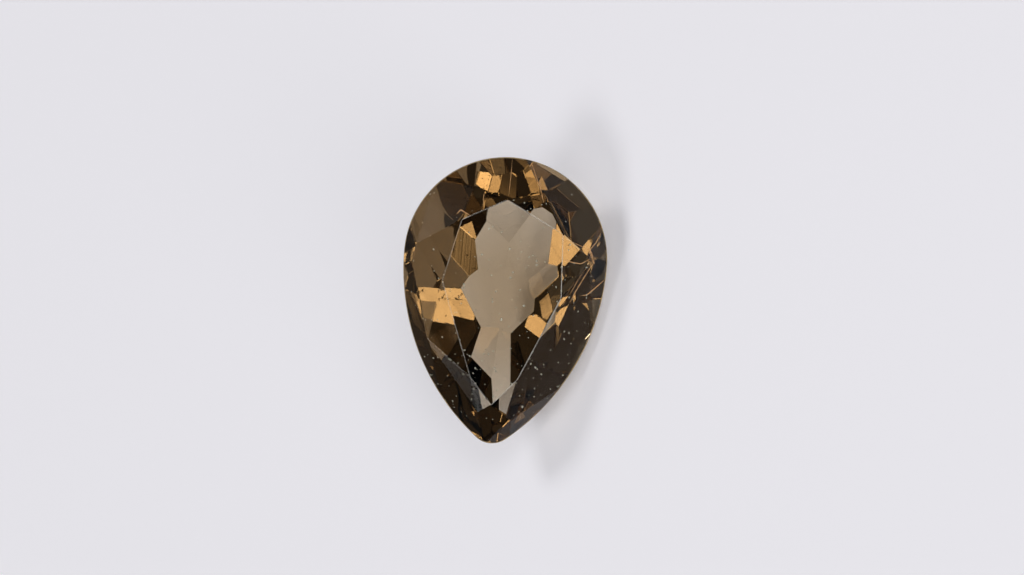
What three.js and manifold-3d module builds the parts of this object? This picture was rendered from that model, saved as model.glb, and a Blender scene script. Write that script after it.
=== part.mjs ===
// Pear-cut smoky quartz gemstone, 10 x 7 mm, lying loose on one of its lower facets.
// One solid: a pear-shaped blank with every facet ground as a flat plane.
// Millimetres, +Z up. The stone is cut in its own frame, described next, and then laid down.
//
// The stone's own frame: the table faces +Z, the rounded head is at +Y, the tip at -Y,
// and z = 0 is the lower edge of the girdle, the narrow unpolished band round the outline.

import * as THREE from "three";
import { mergeVertices } from "three/addons/utils/BufferGeometryUtils.js";
import Module from "manifold-3d";

const wasm = await Module();
wasm.setup();

// Outline, seen from above: a head circle, two long side arcs and a small tip circle
const HEAD_RADIUS = 3.5;
const HEAD_Y = 0.8;
const SIDE_RADIUS = 7.9;
const TIP_RADIUS = 0.8;

// Heights
const GIRDLE_THICKNESS = 0.25;
const CROWN_HEIGHT = 1.05;
const PAVILION_DEPTH = 3;
const SPARE = 0.6;

// The crown: flat table, and for each table corner, in order from the head and then down the
// left side, the corner, the star point that follows it and the girdle angles below them.
// A star point is where a star facet, two main facets and two girdle facets meet.
// Its rise is its height above the girdle.
const CROWN = [
  { corner: [-0.1, 2.82], star: [-1.25, 3.2], rise: 0.71, under: 89, between: 107 },
  { corner: [-1.6, 2.02], star: [-3.1, 1.05], rise: 0.62, under: 129, between: 153 },
  { corner: [-2.1, -0.13], star: [-2.45, -2.15], rise: 0.74, under: 175, between: 218 },
  { corner: [-0.87, -3.35], star: [-0.5, -4.55], rise: 0.77, under: 245, between: 250 },
  { corner: [-0.08, -4.25], star: [0.65, -4.65], rise: 0.77, under: 268, between: 277 },
  { corner: [0.75, -3.3], star: [2.6, -1.75], rise: 0.38, under: 303, between: 326 },
  { corner: [2.03, -0.7], star: [2.8, 1.1], rise: 0.86, under: 339, between: 16 },
  { corner: [1.9, 1.8], star: [1.1, 3.15], rise: 0.83, under: 37, between: 62 },
];

// The pavilion, in cutting order. Each facet faces downwards and towards its azimuth, at its
// slope from the girdle plane, and is ground in until it reaches the stone's surface at its
// meeting point, seen from above. The culet facet is first, at full depth.
const PAVILION = [
  { name: "culet", azimuth: 20, slope: 4, meet: [0.25, 0.1] },
  { name: "main_head_right", azimuth: 56, slope: 32.5, meet: [0.4, 0.4] },
  { name: "main_head_left", azimuth: 118, slope: 29.5, meet: [0.1, 0.95] },
  { name: "main_head", azimuth: 93, slope: 38, meet: [0.2, 1.55] },
  { name: "main_right", azimuth: 13, slope: 36, meet: [0.85, 0.15] },
  { name: "main_left", azimuth: 193, slope: 26.5, meet: [-0.3, -0.3] },
  { name: "main_right_lower", azimuth: 328, slope: 20.5, meet: [0.5, -0.85] },
  { name: "main_tip", azimuth: 286, slope: 34.5, meet: [0.4, -1.75] },
  { name: "main_tip_left", azimuth: 233, slope: 37.5, meet: [0, -1.65] },
  { name: "break_head_left", azimuth: 98, slope: 47, meet: [-0.6, 3.15] },
  { name: "break_upper_left_1", azimuth: 122, slope: 44.5, meet: [-0.8, 2.05] },
  { name: "break_upper_left_2", azimuth: 134, slope: 44.5, meet: [-1.15, 2.65] },
  { name: "break_left_1", azimuth: 158, slope: 45, meet: [-0.95, 0.6] },
  { name: "break_left_2", azimuth: 168, slope: 47.5, meet: [-1.2, 0.1] },
  { name: "break_left_3", azimuth: 204, slope: 49, meet: [-1.35, -0.5] },
  { name: "break_tip_left", azimuth: 232, slope: 44.5, meet: [-0.55, -3] },
  { name: "break_tip_right", azimuth: 312, slope: 47.5, meet: [0.55, -4.3] },
  { name: "break_lower_right_2", azimuth: 325, slope: 49.5, meet: [0.6, -4.2] },
  { name: "break_lower_right_1", azimuth: 322, slope: 45, meet: [0.4, -2] },
  { name: "break_right_3", azimuth: 350, slope: 48.5, meet: [1.35, -0.25] },
  { name: "break_right_2", azimuth: 12, slope: 48, meet: [1.8, 0.75] },
  { name: "break_right_1", azimuth: 34, slope: 42.5, meet: [1.5, 0.75] },
  { name: "break_upper_right", azimuth: 58, slope: 47.5, meet: [1.1, 2.4] },
  { name: "break_head_right", azimuth: 74, slope: 42, meet: [0.85, 3.3] },
];

// The facet that the loose stone lies on
const RESTS_ON = "break_right_3";

// Fineness of the outline's arcs, the size of the grinding block, and how close two points are
// when they count as one
const ARC_STEPS = 40;
const BLOCK = 40;
const SAME_POINT = 1e-5;

const UP = new THREE.Vector3(0, 0, 1);
const DOWN = new THREE.Vector3(0, 0, -1);

// The arcs are tangent to one another: the head circle meets the side arcs on the line y = HEAD_Y.
const sideCentreX = HEAD_RADIUS - SIDE_RADIUS;
const tipAngle = Math.acos(sideCentreX / (TIP_RADIUS - SIDE_RADIUS));
const tipCentreY = HEAD_Y - (SIDE_RADIUS - TIP_RADIUS) * Math.sin(tipAngle);

function pearShape() {
  const shape = new THREE.Shape();
  shape.absarc(0, HEAD_Y, HEAD_RADIUS, 0, Math.PI);
  shape.absarc(-sideCentreX, HEAD_Y, SIDE_RADIUS, Math.PI, Math.PI + tipAngle);
  shape.absarc(0, tipCentreY, TIP_RADIUS, Math.PI + tipAngle, 2 * Math.PI - tipAngle);
  shape.absarc(sideCentreX, HEAD_Y, SIDE_RADIUS, -tipAngle, 0);
  return shape;
}

// The point of the outline in the direction of an angle, in degrees, about the stone's axis
function outlinePoint(degrees) {
  const angle = THREE.MathUtils.degToRad(degrees);
  const along = new THREE.Vector2(Math.cos(angle), Math.sin(angle));
  const pointOnCircle = (x, y, radius) => {
    const centre = new THREE.Vector2(x, y);
    const nearest = along.dot(centre);
    const half = Math.sqrt(nearest ** 2 + radius ** 2 - centre.lengthSq());
    return along.clone().multiplyScalar(nearest + half);
  };
  const onSide = pointOnCircle(Math.sign(along.x) * sideCentreX, HEAD_Y, SIDE_RADIUS);
  if (onSide.y > HEAD_Y) return pointOnCircle(0, HEAD_Y, HEAD_RADIUS);
  if (onSide.y < tipCentreY - TIP_RADIUS * Math.sin(tipAngle)) {
    return pointOnCircle(0, tipCentreY, TIP_RADIUS);
  }
  return onSide;
}

function solidOf(geometry) {
  geometry.deleteAttribute("normal");
  geometry.deleteAttribute("uv");
  const merged = mergeVertices(geometry, SAME_POINT);
  const vertProperties = new Float32Array(merged.getAttribute("position").array);
  const triVerts = new Uint32Array(merged.index.array);
  return new wasm.Manifold(new wasm.Mesh({ numProp: 3, vertProperties, triVerts }));
}

// Grinds away everything on the outer side of a plane.
function grind(stone, plane) {
  const block = new THREE.BoxGeometry(BLOCK, BLOCK, BLOCK);
  block.applyQuaternion(new THREE.Quaternion().setFromUnitVectors(UP, plane.normal));
  block.translate(...plane.normal.clone().multiplyScalar(BLOCK / 2 - plane.constant).toArray());
  return stone.subtract(solidOf(block));
}

function facetPlane(azimuth, slope, point) {
  const tilt = THREE.MathUtils.degToRad(slope);
  const turn = THREE.MathUtils.degToRad(azimuth);
  const normal = new THREE.Vector3(
    Math.sin(tilt) * Math.cos(turn),
    Math.sin(tilt) * Math.sin(turn),
    -Math.cos(tilt),
  );
  return new THREE.Plane().setFromNormalAndCoplanarPoint(normal, point);
}

function heightAt({ normal, constant }, x, y) {
  return -(constant + normal.x * x + normal.y * y) / normal.z;
}

function pavilionPlanes() {
  const planes = {};
  for (const { name, azimuth, slope, meet } of PAVILION) {
    const heights = Object.values(planes).map((plane) => heightAt(plane, ...meet));
    const height = heights.length ? Math.max(...heights) : -PAVILION_DEPTH;
    planes[name] = facetPlane(azimuth, slope, new THREE.Vector3(...meet, height));
  }
  return planes;
}

function planeThrough(...points) {
  const plane = new THREE.Plane().setFromCoplanarPoints(...points);
  return plane.normal.z < 0 ? plane.negate() : plane;
}

function crownPlanes() {
  const raised = (point, rise) => new THREE.Vector3(...point, GIRDLE_THICKNESS + rise);
  const onGirdle = (degrees) => raised(outlinePoint(degrees).toArray(), 0);
  const planes = [new THREE.Plane(UP.clone(), -GIRDLE_THICKNESS - CROWN_HEIGHT)];
  CROWN.forEach((place, i) => {
    const next = CROWN[(i + 1) % CROWN.length];
    const before = CROWN.at(i - 1);
    const corner = raised(place.corner, CROWN_HEIGHT);
    const nextCorner = raised(next.corner, CROWN_HEIGHT);
    const star = raised(place.star, place.rise);
    const starBefore = raised(before.star, before.rise);
    const between = onGirdle(place.between);
    planes.push(planeThrough(corner, nextCorner, star));
    planes.push(planeThrough(corner, starBefore, star));
    planes.push(planeThrough(star, onGirdle(place.under), between));
    planes.push(planeThrough(star, between, onGirdle(next.under)));
  });
  return planes;
}

function cutStone() {
  const depth = PAVILION_DEPTH + SPARE + GIRDLE_THICKNESS + CROWN_HEIGHT;
  const blank = new THREE.ExtrudeGeometry(pearShape(), {
    depth,
    bevelEnabled: false,
    curveSegments: ARC_STEPS,
  });
  blank.translate(0, 0, -PAVILION_DEPTH - SPARE);
  const planes = [...Object.values(pavilionPlanes()), ...crownPlanes()];
  const { vertProperties, triVerts } = planes.reduce(grind, solidOf(blank)).getMesh();
  const geometry = new THREE.BufferGeometry();
  geometry.setAttribute("position", new THREE.BufferAttribute(vertProperties, 3));
  geometry.setIndex(new THREE.BufferAttribute(triVerts, 1));
  return geometry;
}

const smokyQuartz = new THREE.MeshStandardMaterial({
  color: 0x6b4a2b,
  roughness: 0.05,
  metalness: 0,
  transparent: true,
  opacity: 0.85,
});

const stone = new THREE.Mesh(cutStone(), smokyQuartz);
stone.name = "pear_cut_quartz";

// Laid down: the resting facet is turned to face straight down, and the origin is put under the
// middle of the stone, on the surface that it lies on.
stone.quaternion.setFromUnitVectors(pavilionPlanes()[RESTS_ON].normal, DOWN);
const box = new THREE.Box3().setFromObject(stone, true);
const middle = box.getCenter(new THREE.Vector3());
stone.position.set(-middle.x, -middle.y, -box.min.z);

const gemstone = new THREE.Group();
gemstone.add(stone);

export default gemstone;
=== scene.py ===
"""Pear-cut smoky quartz gemstone lying on a pale floor, seen square on to its table."""

import math
import random

import bmesh
import bpy
from mathutils import Matrix, Quaternion, Vector
from mathutils.bvhtree import BVHTree


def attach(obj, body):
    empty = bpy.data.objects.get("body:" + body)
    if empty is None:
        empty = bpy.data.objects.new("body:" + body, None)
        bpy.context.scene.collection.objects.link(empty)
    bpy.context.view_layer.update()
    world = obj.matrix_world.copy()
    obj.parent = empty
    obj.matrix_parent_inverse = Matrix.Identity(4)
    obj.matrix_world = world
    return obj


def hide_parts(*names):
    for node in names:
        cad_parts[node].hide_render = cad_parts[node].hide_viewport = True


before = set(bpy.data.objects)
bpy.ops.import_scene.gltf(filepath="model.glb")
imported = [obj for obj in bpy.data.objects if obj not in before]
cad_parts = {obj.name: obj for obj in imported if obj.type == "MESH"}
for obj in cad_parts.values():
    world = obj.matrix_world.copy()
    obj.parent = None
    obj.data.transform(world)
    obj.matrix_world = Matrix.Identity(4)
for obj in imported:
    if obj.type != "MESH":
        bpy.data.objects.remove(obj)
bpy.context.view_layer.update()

MM = 0.001

# Where the stone's own frame lies in the scene: its table faces its +Z, its head is at its +Y.
STONE_TURN = Quaternion((0.911762, 0.0713206, 0.4044791, 0.0))
STONE_PLACE = Vector((0.0303621, 0.6336636, 2.7948609)) * MM

# The camera looks straight down on the table from far off, with the head leaning to the right.
IMAGE_WIDTH = 35.25 * MM
HEAD_LEAN = math.radians(4.757)
AIM = (0.305, -0.165, 0.1)
CAMERA_DISTANCE = 0.4
SENSOR_WIDTH = 36

# Brown smoky quartz. The shine is that of the outer surface alone.
QUARTZ_IOR = 1.544
SURFACE_SHINE = (0.25, 0.25, 0.25)
BROWN_DEPTH = 400.0
BROWN_COLOUR = (0.575, 0.43, 0.175)
POLISH = 0.0
FROSTED = 0.35

# The CAD mesh's triangles are joined to facets within these limits.
SAME_PLACE = 0.0005 * MM
SAME_FACET = math.radians(0.2)

# How far a facet faces up, from -1 to 1: the table, the least for a crown facet, the most for
# the girdle either way, and the most for a pavilion facet that can have clear polishing lines
TABLE_RISE = 0.9999
CROWN_RISE = 0.05
GIRDLE_RISE = 0.02
LINED_RISE = -0.5

# The narrow worn flats along the facet edges, with the edges that have none
TABLE_EDGE = 0.032 * MM
CROWN_EDGE = 0.05 * MM
GIRDLE_EDGE = 0.08 * MM
LOWER_EDGE = 0.025 * MM
SHORTEST_EDGE = 0.12 * MM
FLATTEST_EDGE = math.radians(3)
STEEPEST_EDGE = math.radians(120)
SMALLEST_FACE = 0.004 * MM * MM
CUT_EXACTNESS = 1e-9

# The facets' slight waviness, and the fine lines left by polishing, each facet's at its own angle
WAVE_SIZE = 2.2 * MM
WAVE_HEIGHT = 0.006 * MM
LINE_SPACING = 0.11 * MM
LINE_HEIGHT = 0.0006 * MM
LINE_ANGLES = (25, 65)
LINED_AZIMUTHS = (150, 215)
LINED = 1.0
FAINTLY_LINED = 0.15

# Thin coats on the stone: their thickness, and the patches in which they are thin
COAT = 0.001 * MM
PATCH_SIZE = 0.4 * MM
PATCHES = (0.35, 0.65)
THINNEST = 0.35

# Lines on the worn flats: a pale one along the table's edge, partly wear and partly a painted
# highlight, which fades across the table from the right to the left as painted light falling from
# the right; and a golden one round the girdle, a painted bright rim of light
TABLE_WORN = 1.0
GIRDLE_WORN = 2.0
WORN_EDGE_HIGHLIGHT_COLOUR = (0.62, 0.60, 0.55)
RIM_LIGHT_COLOUR = (0.52, 0.38, 0.16)
HIGHLIGHT_SIDE = (1, -0.3, 0)
HIGHLIGHT_FADE_ACROSS = (-1.2 * MM, 0.6 * MM)
FADED_HIGHLIGHT = 0.3

# Dust lying on the top of the stone, in the stone's own millimetres across and along it, most
# of it near one place along it
DUST_COUNT = 360
DUST_ACROSS = 3.6
DUST_ALONG = (-5, 4.4)
DUSTIEST = -4.2
DUST_SIZE = (0.012 * MM, 0.034 * MM)
DUST_LENGTH = (1, 2.2)
DUST_FLATNESS = 0.3
DUST_COLOUR = (0.52, 0.52, 0.42)

# Hair-thin cracks in the crown, each along points seen from above, with its width; the cracks'
# bright orange is a painted glint of light
HAIRLINES = [
    ([(2.86, 1.36), (2.95, 1.12), (3.05, 0.88)], 0.09),
    ([(2.86, 1.34), (3.05, 1.6), (3.2, 1.95)], 0.03),
    ([(2.9, 1.04), (2.6, 0.84), (2.3, 0.86), (2.04, 0.93)], 0.03),
    ([(3.0, 0.86), (2.75, 0.4), (2.5, -0.1), (2.33, -0.5)], 0.035),
    ([(2.85, 0.8), (2.55, 0.3), (2.3, -0.25)], 0.02),
    ([(3.45, 0.36), (3.2, 0.1), (2.9, -0.2), (2.63, -0.27)], 0.04),
    ([(0.6, 4.2), (1.02, 3.23), (1.15, 2.82)], 0.03),
    ([(-0.05, 4.25), (-0.05, 3.6), (-0.07, 2.95)], 0.02),
    ([(-0.9, 3.05), (-0.93, 2.8), (-0.9, 2.5)], 0.02),
    ([(-1.79, 2.2), (-1.67, 2.35), (-1.31, 2.17)], 0.035),
    ([(1.98, 1.65), (2.4, 1.5), (2.84, 1.34)], 0.02),
]
HAIRLINE_STEPS = 4
HAIRLINE_END = 0.25
# Painted glint: the bright orange of light caught in the cracks, painted onto them.
CRACK_GLINT_COLOUR = (0.75, 0.42, 0.18)

FLOOR_GAP = 0.02 * MM
FLOOR_SIZE = 1.2
FLOOR_COLOUR = (0.79, 0.78, 0.82)
FLOOR_GLOW = 0.28

# Light. A softbox has its direction from the stone as the angle from the table's normal and the
# azimuth in the stone's own frame, its half angle, all in degrees, and its brightness.
ROOM_COLOUR = (0.98, 0.98, 1.0)
ROOM_LIGHT = 0.11
SOFTBOX_DISTANCE = 0.6
SOFT_RIM = 3
SOFTBOXES = {
    "softbox_head": (19, 89, 12.3, 3.3),
    "softbox_right": (19, 324, 13.7, 3.1),
    "softbox_left": (74.7, 153, 9, 6.8),
    "softbox_low": (56.4, 211, 8.5, 6.8),
    "softbox_tip": (19, 212, 5.8, 3.0),
}


def in_scene(x, y, z):
    """A place given in the stone's own frame, in millimetres."""
    return STONE_TURN @ (Vector((x, y, z)) * MM) + STONE_PLACE


def towards(x, y, z):
    """A direction given in the stone's own frame."""
    return (STONE_TURN @ Vector((x, y, z))).normalized()


def new_material(name):
    material = bpy.data.materials.new(name)
    material.use_nodes = True
    nodes = material.node_tree.nodes
    return material, nodes, material.node_tree.links, nodes["Principled BSDF"]


def attribute(nodes, name):
    node = nodes.new("ShaderNodeAttribute")
    node.attribute_name = name
    return node


def add_piece(name, bm, material):
    """Makes an object of a bmesh, riding on the stone's body."""
    mesh = bpy.data.meshes.new(name)
    bm.to_mesh(mesh)
    bm.free()
    mesh.materials.append(material)
    piece = bpy.data.objects.new(name, mesh)
    bpy.context.collection.objects.link(piece)
    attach(piece, "root")
    return piece


def place_camera():
    camera = bpy.data.objects.new("camera", bpy.data.cameras.new("camera"))
    bpy.context.collection.objects.link(camera)
    back = towards(0, 0, 1)
    up = towards(-math.sin(HEAD_LEAN), math.cos(HEAD_LEAN), 0)
    right = up.cross(back)
    turn = Matrix((right, up, back)).transposed().to_4x4()
    camera.matrix_world = Matrix.Translation(in_scene(*AIM) + back * CAMERA_DISTANCE) @ turn
    camera.data.sensor_width = SENSOR_WIDTH
    camera.data.lens = SENSOR_WIDTH * CAMERA_DISTANCE / IMAGE_WIDTH
    camera.data.clip_start = 0.01
    camera.data.clip_end = 20
    bpy.context.scene.camera = camera


def smoky_quartz():
    """Clear brown quartz with slightly wavy facets, fine polishing lines and a frosted girdle."""
    material, nodes, links, shader = new_material("smoky_quartz")
    shader.inputs["Base Color"].default_value = (1, 1, 1, 1)
    shader.inputs["Transmission Weight"].default_value = 1
    shader.inputs["IOR"].default_value = QUARTZ_IOR
    shader.inputs["Specular Tint"].default_value = (*SURFACE_SHINE, 1)
    place = nodes.new("ShaderNodeTexCoord")

    wave = nodes.new("ShaderNodeTexNoise")
    wave.inputs["Scale"].default_value = 1 / WAVE_SIZE
    wave.inputs["Detail"].default_value = 0
    links.new(place.outputs["Object"], wave.inputs["Vector"])
    wavy = nodes.new("ShaderNodeBump")
    wavy.inputs["Distance"].default_value = WAVE_HEIGHT
    links.new(wave.outputs["Fac"], wavy.inputs["Height"])

    across = nodes.new("ShaderNodeVectorMath")
    across.operation = "DOT_PRODUCT"
    links.new(place.outputs["Object"], across.inputs[0])
    links.new(attribute(nodes, "across").outputs["Vector"], across.inputs[1])
    line = nodes.new("ShaderNodeTexNoise")
    line.noise_dimensions = "1D"
    line.inputs["Scale"].default_value = 1 / LINE_SPACING
    line.inputs["Detail"].default_value = 2
    links.new(across.outputs["Value"], line.inputs["W"])
    height = nodes.new("ShaderNodeMath")
    height.operation = "MULTIPLY"
    links.new(line.outputs["Fac"], height.inputs[0])
    links.new(attribute(nodes, "lined").outputs["Fac"], height.inputs[1])
    lined = nodes.new("ShaderNodeBump")
    lined.inputs["Distance"].default_value = LINE_HEIGHT
    links.new(height.outputs["Value"], lined.inputs["Height"])
    links.new(wavy.outputs["Normal"], lined.inputs["Normal"])
    links.new(lined.outputs["Normal"], shader.inputs["Normal"])

    rough = nodes.new("ShaderNodeMapRange")
    rough.inputs["To Min"].default_value = POLISH
    rough.inputs["To Max"].default_value = FROSTED
    links.new(attribute(nodes, "girdle").outputs["Fac"], rough.inputs["Value"])
    links.new(rough.outputs["Result"], shader.inputs["Roughness"])

    absorption = nodes.new("ShaderNodeVolumeAbsorption")
    absorption.inputs["Color"].default_value = (*BROWN_COLOUR, 1)
    absorption.inputs["Density"].default_value = BROWN_DEPTH
    links.new(absorption.outputs["Volume"], nodes["Material Output"].inputs["Volume"])
    return material


def thin_coat(name, colour, roughness, opacity=1.0, highlight_fades_left=False):
    """A dull coat in patches, used for real dust and for painted highlights and glints; it may
    fade towards the stone's left, as painted light falling from the right.
    """
    material, nodes, links, shader = new_material(name)
    shader.inputs["Base Color"].default_value = (*colour, 1)
    shader.inputs["Roughness"].default_value = roughness
    place = nodes.new("ShaderNodeTexCoord")
    patches = nodes.new("ShaderNodeTexNoise")
    patches.inputs["Scale"].default_value = 1 / PATCH_SIZE
    patches.inputs["Detail"].default_value = 4
    links.new(place.outputs["Object"], patches.inputs["Vector"])
    cover = nodes.new("ShaderNodeMapRange")
    cover.inputs["From Min"].default_value = PATCHES[0]
    cover.inputs["From Max"].default_value = PATCHES[1]
    cover.inputs["To Min"].default_value = opacity * THINNEST
    cover.inputs["To Max"].default_value = opacity
    links.new(patches.outputs["Fac"], cover.inputs["Value"])
    alpha = cover.outputs["Result"]
    # Painted light: the coat grows fainter towards the stone's left, as if the edge were lit from
    # the right.
    if highlight_fades_left:
        side = nodes.new("ShaderNodeVectorMath")
        side.operation = "DOT_PRODUCT"
        side.inputs[1].default_value = towards(*HIGHLIGHT_SIDE)
        links.new(place.outputs["Object"], side.inputs[0])
        fade = nodes.new("ShaderNodeMapRange")
        fade.inputs["From Min"].default_value = HIGHLIGHT_FADE_ACROSS[0]
        fade.inputs["From Max"].default_value = HIGHLIGHT_FADE_ACROSS[1]
        fade.inputs["To Min"].default_value = FADED_HIGHLIGHT
        links.new(side.outputs["Value"], fade.inputs["Value"])
        faded = nodes.new("ShaderNodeMath")
        faded.operation = "MULTIPLY"
        links.new(alpha, faded.inputs[0])
        links.new(fade.outputs["Result"], faded.inputs[1])
        alpha = faded.outputs["Value"]
    links.new(alpha, shader.inputs["Alpha"])
    return material


def whole_facets():
    """The CAD stone with its facets as whole polygons, marked with how each one is finished."""
    bm = bmesh.new()
    bm.from_mesh(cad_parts["pear_cut_quartz"].data)
    bmesh.ops.remove_doubles(bm, verts=bm.verts, dist=SAME_PLACE)
    bmesh.ops.dissolve_limit(bm, angle_limit=SAME_FACET, verts=bm.verts, edges=bm.edges)
    bm.normal_update()
    axis = towards(0, 0, 1)
    right = towards(1, 0, 0)
    head = towards(0, 1, 0)
    lined = bm.faces.layers.float.new("lined")
    across = bm.faces.layers.float_vector.new("across")
    girdle = bm.faces.layers.float.new("girdle")
    bm.faces.layers.float.new("worn")
    chance = random.Random(5)
    for face in bm.faces:
        rise = face.normal.dot(axis)
        azimuth = math.degrees(math.atan2(face.normal.dot(head), face.normal.dot(right))) % 360
        level = face.normal.cross(axis) if abs(rise) < TABLE_RISE else head.copy()
        level.normalize()
        turn = Quaternion(face.normal, math.radians(chance.uniform(*LINE_ANGLES)))
        face[across] = turn @ level
        is_lined = rise < LINED_RISE and LINED_AZIMUTHS[0] < azimuth < LINED_AZIMUTHS[1]
        face[lined] = LINED if is_lined else FAINTLY_LINED
        face[girdle] = float(abs(rise) < GIRDLE_RISE)
    return bm


def wear_edges(bm):
    """Cuts a narrow flat along each facet edge. The stone is convex, so each flat is one plane."""
    axis = towards(0, 0, 1)
    worn = bm.faces.layers.float["worn"]
    girdle = bm.faces.layers.float["girdle"]
    cuts = []
    for edge in bm.edges:
        one, other = edge.link_faces
        angle = one.normal.angle(other.normal)
        upper = max(one.normal.dot(axis), other.normal.dot(axis))
        is_girdle = one[girdle] + other[girdle]
        if is_girdle > 1 or not FLATTEST_EDGE < angle < STEEPEST_EDGE:
            continue
        if min(one.calc_area(), other.calc_area()) < SMALLEST_FACE:
            continue
        if edge.calc_length() < SHORTEST_EDGE and not is_girdle:
            continue
        is_table = upper > TABLE_RISE
        if upper <= CROWN_RISE:
            width = LOWER_EDGE
        elif is_girdle:
            width = GIRDLE_EDGE
        else:
            width = TABLE_EDGE if is_table else CROWN_EDGE
        out = (one.normal + other.normal).normalized()
        middle = (edge.verts[0].co + edge.verts[1].co) / 2
        depth = width / 2 * math.tan(angle / 2)
        cuts.append((middle - out * depth, out, is_table, is_girdle))
    for place, out, is_table, is_girdle in cuts:
        everything = bm.verts[:] + bm.edges[:] + bm.faces[:]
        cut = bmesh.ops.bisect_plane(
            bm,
            geom=everything,
            dist=CUT_EXACTNESS,
            plane_co=place,
            plane_no=out,
            clear_outer=True,
        )["geom_cut"]
        rim = [part for part in cut if isinstance(part, bmesh.types.BMEdge)]
        for face in bmesh.ops.edgeloop_fill(bm, edges=rim)["faces"]:
            face[worn] = TABLE_WORN if is_table else GIRDLE_WORN if is_girdle else 0.0
            face[girdle] = float(is_girdle)
    bm.normal_update()
    bmesh.ops.recalc_face_normals(bm, faces=bm.faces)


def cut_stone(bm):
    stone = add_piece("smoky_quartz_stone", bm, smoky_quartz())
    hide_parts("pear_cut_quartz")


def coat(name, bm, material):
    """Makes a piece of an open surface, with its thickness below it."""
    bm.normal_update()
    bmesh.ops.solidify(bm, geom=bm.faces, thickness=-COAT)
    bmesh.ops.recalc_face_normals(bm, faces=bm.faces)
    add_piece(name, bm, material)


def highlight_line(name, bm, mark, material):
    """A line along an edge of the cut, painted as a highlight: a thin coat on the worn flats
    there.
    """
    worn = bm.faces.layers.float["worn"]
    bmesh.ops.delete(bm, geom=[f for f in bm.faces if f[worn] != mark], context="FACES")
    bm.normal_update()
    lifts = [(vert, vert.normal * COAT) for vert in bm.verts]
    for vert, lift in lifts:
        vert.co += lift
    coat(name, bm, material)


def on_top(surface, x, y):
    """The place and normal of the stone's upper surface at a point seen from above."""
    place, normal, _, _ = surface.ray_cast(in_scene(x, y, 5), -towards(0, 0, 1))
    return place, normal


def dust(surface):
    """Tiny flakes of dust on the table and the crown, thicker towards the tip."""
    chance = random.Random(11)
    bm = bmesh.new()
    for _ in range(DUST_COUNT):
        y = chance.triangular(*DUST_ALONG, DUSTIEST)
        place, normal = on_top(surface, chance.uniform(-DUST_ACROSS, DUST_ACROSS), y)
        size = chance.uniform(*DUST_SIZE) * chance.uniform(0.5, 1)
        if place is None:
            continue
        turn = normal.to_track_quat("Z", "X").to_matrix().to_4x4()
        spin = Matrix.Rotation(chance.uniform(0, math.tau), 4, "Z")
        length = size * chance.uniform(*DUST_LENGTH)
        shape = Matrix.Diagonal((length, size, size * DUST_FLATNESS, 1))
        bmesh.ops.create_icosphere(
            bm, subdivisions=1, radius=1, matrix=Matrix.Translation(place) @ turn @ spin @ shape
        )
    add_piece("dust_specks", bm, thin_coat("dust", DUST_COLOUR, 0.9))


def crack_glints(surface):
    """Hair-thin cracks in the crown, thin at both ends, coated with a painted glint of bright
    orange light.
    """
    bm = bmesh.new()
    for points, width in HAIRLINES:
        spans = len(points) - 1
        strip = bmesh.ops.create_grid(
            bm, x_segments=len(points) * HAIRLINE_STEPS, y_segments=1, size=1
        )["verts"]
        for vert in strip:
            part = (vert.co.x + 1) / 2
            along = part * spans
            step = min(int(along), spans - 1)
            start, end = Vector(points[step]), Vector(points[step + 1])
            forward = (end - start).normalized()
            swell = math.sin(math.pi * min(max(part, 0), 1))
            half = width / 2 * (HAIRLINE_END + (1 - HAIRLINE_END) * swell)
            across = Vector((-forward.y, forward.x)) * vert.co.y
            spot = start.lerp(end, along - step) + across * half
            place, normal = on_top(surface, spot.x, spot.y)
            vert.co = place + normal * COAT
    # The cracks' bright orange coat is a painted glint of light.
    coat("crown_crack_glints", bm, thin_coat("crack_glint", CRACK_GLINT_COLOUR, 0.5, 0.8))


def pale_floor():
    bm = bmesh.new()
    bmesh.ops.create_grid(bm, x_segments=1, y_segments=1, size=FLOOR_SIZE / 2)
    bmesh.ops.translate(bm, verts=bm.verts, vec=(0, 0, -FLOOR_GAP))
    mesh = bpy.data.meshes.new("floor")
    bm.to_mesh(mesh)
    bm.free()
    floor = bpy.data.objects.new("floor", mesh)
    bpy.context.collection.objects.link(floor)
    material, _, _, shader = new_material("pale_floor")
    shader.inputs["Base Color"].default_value = (*FLOOR_COLOUR, 1)
    shader.inputs["Roughness"].default_value = 1
    shader.inputs["Specular IOR Level"].default_value = 0
    shader.inputs["Emission Color"].default_value = (*FLOOR_COLOUR, 1)
    shader.inputs["Emission Strength"].default_value = FLOOR_GLOW
    mesh.materials.append(material)


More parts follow.
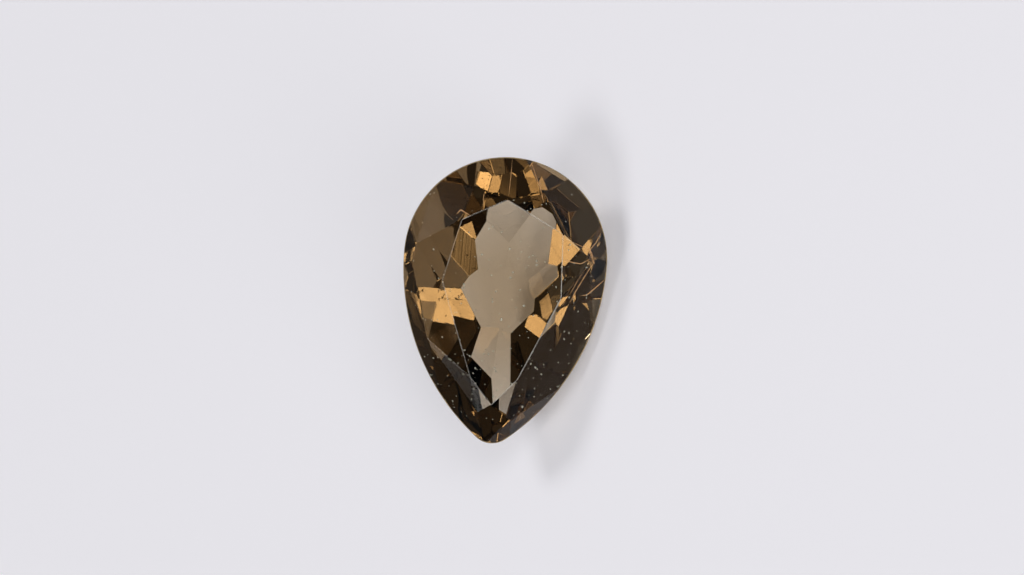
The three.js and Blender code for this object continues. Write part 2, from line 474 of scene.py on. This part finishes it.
def softbox(name, polar, azimuth, half_angle, brightness):
    """A round softbox, dimmer towards its rim."""
    polar, azimuth = math.radians(polar), math.radians(azimuth)
    away = towards(
        math.sin(polar) * math.cos(azimuth), math.sin(polar) * math.sin(azimuth), math.cos(polar)
    )
    radius = SOFTBOX_DISTANCE * math.tan(math.radians(half_angle + SOFT_RIM))
    bright_radius = SOFTBOX_DISTANCE * math.tan(math.radians(half_angle - SOFT_RIM))
    light = bpy.data.lights.new(name, "AREA")
    light.shape = "DISK"
    light.size = 2 * radius
    light.energy = brightness * 4 * math.pi * radius ** 2
    light.use_nodes = True
    nodes, links = light.node_tree.nodes, light.node_tree.links
    place = nodes.new("ShaderNodeNewGeometry")
    from_centre = nodes.new("ShaderNodeVectorMath")
    from_centre.operation = "DISTANCE"
    from_centre.inputs[1].default_value = (0.5, 0.5, 0)
    rim = nodes.new("ShaderNodeMapRange")
    rim.interpolation_type = "SMOOTHSTEP"
    rim.inputs["From Min"].default_value = 0.5
    rim.inputs["From Max"].default_value = 0.5 * bright_radius / radius
    links.new(place.outputs["Parametric"], from_centre.inputs[0])
    links.new(from_centre.outputs["Value"], rim.inputs["Value"])
    links.new(rim.outputs["Result"], nodes["Emission"].inputs["Strength"])
    lamp = bpy.data.objects.new(name, light)
    bpy.context.collection.objects.link(lamp)
    lamp.location = away * SOFTBOX_DISTANCE
    lamp.rotation_mode = "QUATERNION"
    lamp.rotation_quaternion = away.to_track_quat("Z", "Y")


def studio_light():
    world = bpy.data.worlds.new("studio")
    bpy.context.scene.world = world
    world.use_nodes = True
    background = world.node_tree.nodes["Background"]
    background.inputs["Color"].default_value = (*ROOM_COLOUR, 1)
    background.inputs["Strength"].default_value = ROOM_LIGHT
    for name, box in SOFTBOXES.items():
        softbox(name, *box)
    bpy.context.scene.view_settings.view_transform = "Standard"


place_camera()
pale_floor()
stone_mesh = whole_facets()
wear_edges(stone_mesh)
stone_surface = BVHTree.FromBMesh(stone_mesh)
# The pale line on the table's edge: partly wear, partly a painted highlight, fading to the left as
# painted light from the right.
edge_highlight_paint = thin_coat("worn_edge_highlight", WORN_EDGE_HIGHLIGHT_COLOUR, 0.4, 0.75, highlight_fades_left=True)
highlight_line("worn_table_edge_highlight", stone_mesh.copy(), TABLE_WORN, edge_highlight_paint)
# The golden line round the girdle: a painted bright rim of light, not a colour of the stone.
rim_light_paint = thin_coat("golden_rim_light", RIM_LIGHT_COLOUR, 0.5, 0.7)
highlight_line("golden_girdle_rim_light", stone_mesh.copy(), GIRDLE_WORN, rim_light_paint)
dust(stone_surface)
crack_glints(stone_surface)
cut_stone(stone_mesh)
studio_light()
